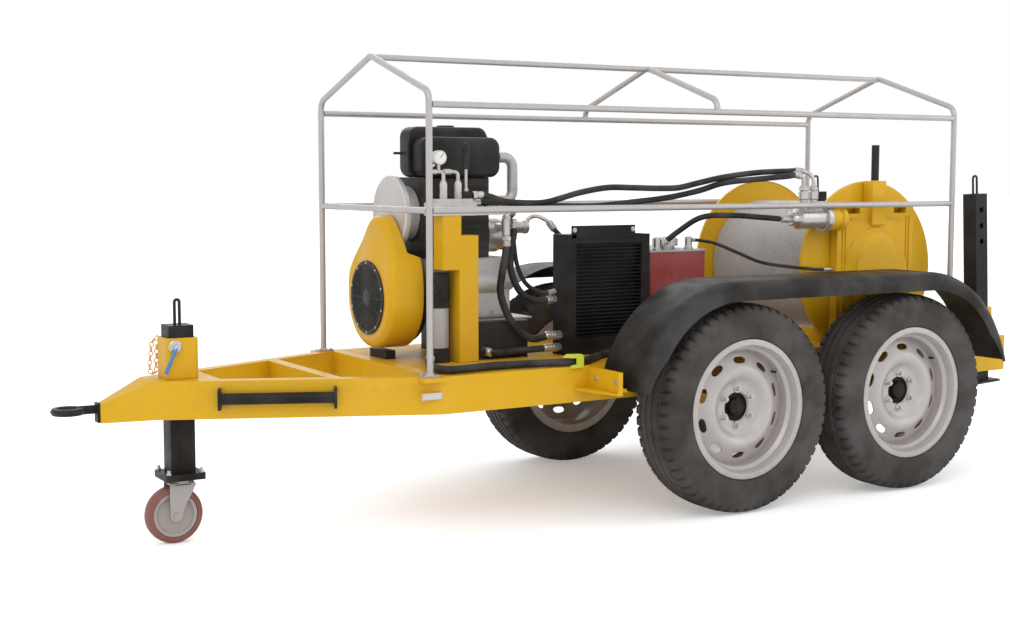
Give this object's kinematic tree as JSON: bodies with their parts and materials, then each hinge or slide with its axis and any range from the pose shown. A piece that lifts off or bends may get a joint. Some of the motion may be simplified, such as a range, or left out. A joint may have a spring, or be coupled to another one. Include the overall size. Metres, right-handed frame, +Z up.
{
  "type": "cable pulling machine trailer",
  "caption": "Engine-driven hydraulic cable puller on a two-axle trailer: rope drum, power pack, oil cooler and tank under an open tube canopy, with a jack and rear legs.",
  "frame": {"origin": "centre of the overall length and width, on the ground under the tyres", "axes": "+Z up, -X towards the tow eye, -Y the side with the valve stand and drum gearbox"},
  "size_m": [3.39, 1.24, 1.4659],
  "materials": {
    "yellow_paint": "glossy paint with scuffed edges",
    "black_paint": "satin paint",
    "black_casting": "satin black over aluminium",
    "galvanised": "dull zinc",
    "silver_paint": "satin silver paint",
    "tyre_rubber": "matte",
    "caster_red": "satin",
    "blue_steel": "glossy paint",
    "engine_casting": "cast and sheet metal, satin",
    "bare_steel": "machined",
    "red_paint": "glossy paint",
    "black_plastic": "satin",
    "wire_rope": "laid wire",
    "hose_rubber": "matte"
  },
  "bodies": {
    "trailer": {"drawbar_frame": "yellow_paint", "deck_plate": "yellow_paint", "rear_beam": "yellow_paint", "tow_eye": "black_paint", "side_bar": "black_paint", "jack_sleeve": "yellow_paint", "front_hoop": "galvanised", "rear_hoop": "galvanised", "roof_frame": "galvanised", "near_mid_rail": "galvanised", "far_mid_rail": "galvanised", "near_fender": "black_paint", "far_fender": "black_paint", "axle_front": "yellow_paint", "axle_rear": "yellow_paint", "engine_base": "black_paint", "crankcase": "engine_casting", "cylinder_block": "black_casting", "fan_housing": "yellow_paint", "fan_grille": "black_paint", "fuel_tank": "black_paint", "exhaust_pipe": "galvanised", "hydraulic_pump": "engine_casting", "filter_column": "black_casting", "valve_stand": "yellow_paint", "valve_block": "bare_steel", "oil_cooler": "black_casting", "hydraulic_tank": "red_paint", "gearbox_housing": "yellow_paint", "drum_bearing_stand": "yellow_paint", "drum_motor": "bare_steel", "top_hose_a": "hose_rubber", "top_hose_b": "hose_rubber", "motor_hose": "hose_rubber", "case_drain_hose": "hose_rubber", "cooler_hose_pair": "hose_rubber", "pump_hose": "hose_rubber", "base_hose": "hose_rubber", "deck_hose": "hose_rubber"},
    "wheel_near_front": {"rim_near_front": "silver_paint", "tyre_near_front": "tyre_rubber"},
    "wheel_near_rear": {"rim_near_rear": "silver_paint", "tyre_near_rear": "tyre_rubber"},
    "wheel_far_front": {"rim_far_front": "silver_paint", "tyre_far_front": "tyre_rubber"},
    "wheel_far_rear": {"rim_far_rear": "silver_paint", "tyre_far_rear": "tyre_rubber"},
    "jack": {"jack_leg": "black_paint"},
    "caster_swivel": {"caster_fork": "galvanised"},
    "caster_wheel": {"caster_hub": "silver_paint", "caster_tyre": "caster_red"},
    "jack_clamp": {"jack_lock_lever": "blue_steel"},
    "leg_near": {"rear_leg_near": "black_paint"},
    "leg_clamp_near": {"rear_lock_lever_near": "blue_steel"},
    "leg_far": {"rear_leg_far": "black_paint"},
    "leg_clamp_far": {"rear_lock_lever_far": "blue_steel"},
    "lever": {"control_lever": "black_plastic"},
    "filler": {"filler_cap": "black_plastic"},
    "rope_drum": {"drum": "yellow_paint", "rope_winding": "wire_rope"}
  },
  "joints": [
    {"name": "wheel_near_front_spin", "type": "hinge", "parent": "trailer", "child": "wheel_near_front", "pos_m": [0.362, -0.507, 0.34], "axis": [0, 1, 0], "continuous": true},
    {"name": "wheel_near_rear_spin", "type": "hinge", "parent": "trailer", "child": "wheel_near_rear", "pos_m": [1.088, -0.507, 0.34], "axis": [0, 1, 0], "continuous": true},
    {"name": "wheel_far_front_spin", "type": "hinge", "parent": "trailer", "child": "wheel_far_front", "pos_m": [0.362, 0.507, 0.34], "axis": [0, 1, 0], "continuous": true},
    {"name": "wheel_far_rear_spin", "type": "hinge", "parent": "trailer", "child": "wheel_far_rear", "pos_m": [1.088, 0.507, 0.34], "axis": [0, 1, 0], "continuous": true},
    {"name": "jack_slide", "type": "slide", "parent": "trailer", "child": "jack", "axis": [0, 0, 1], "range_m": [0, 0.15]},
    {"name": "caster_turn", "type": "hinge", "parent": "jack", "child": "caster_swivel", "pos_m": [-1.321, 0, 0.187], "axis": [0, 0, 1], "continuous": true},
    {"name": "caster_roll", "type": "hinge", "parent": "caster_swivel", "child": "caster_wheel", "pos_m": [-1.343, 0, 0.086], "axis": [0, 1, 0], "continuous": true},
    {"name": "jack_clamp_turn", "type": "hinge", "parent": "trailer", "child": "jack_clamp", "pos_m": [-1.345, -0.06, 0.59], "axis": [0, 1, 0], "range_deg": [-90, 90]},
    {"name": "leg_near_slide", "type": "slide", "parent": "trailer", "child": "leg_near", "axis": [0.0523, 0, -0.9986], "range_m": [0, 0.3]},
    {"name": "leg_clamp_near_turn", "type": "hinge", "parent": "trailer", "child": "leg_clamp_near", "pos_m": [1.585, -0.473, 0.5447], "axis": [0, 1, 0], "range_deg": [-90, 90]},
    {"name": "leg_far_slide", "type": "slide", "parent": "trailer", "child": "leg_far", "axis": [0.0523, 0, -0.9986], "range_m": [0, 0.3]},
    {"name": "leg_clamp_far_turn", "type": "hinge", "parent": "trailer", "child": "leg_clamp_far", "pos_m": [1.585, 0.473, 0.5447], "axis": [0, 1, 0], "range_deg": [-90, 90]},
    {"name": "control_lever_tilt", "type": "hinge", "parent": "trailer", "child": "lever", "pos_m": [-0.402, -0.1, 1.0386], "axis": [1, 0, 0], "range_deg": [-20, 20], "stiffness_Nm_per_rad": 2},
    {"name": "filler_cap_turn", "type": "hinge", "parent": "trailer", "child": "filler", "pos_m": [0.425, -0.05, 0.857], "axis": [0, 0, 1], "continuous": true},
    {"name": "drum_spin", "type": "hinge", "parent": "trailer", "child": "rope_drum", "pos_m": [1.149, 0, 0.752], "axis": [0, 1, 0], "continuous": true}
  ]
}
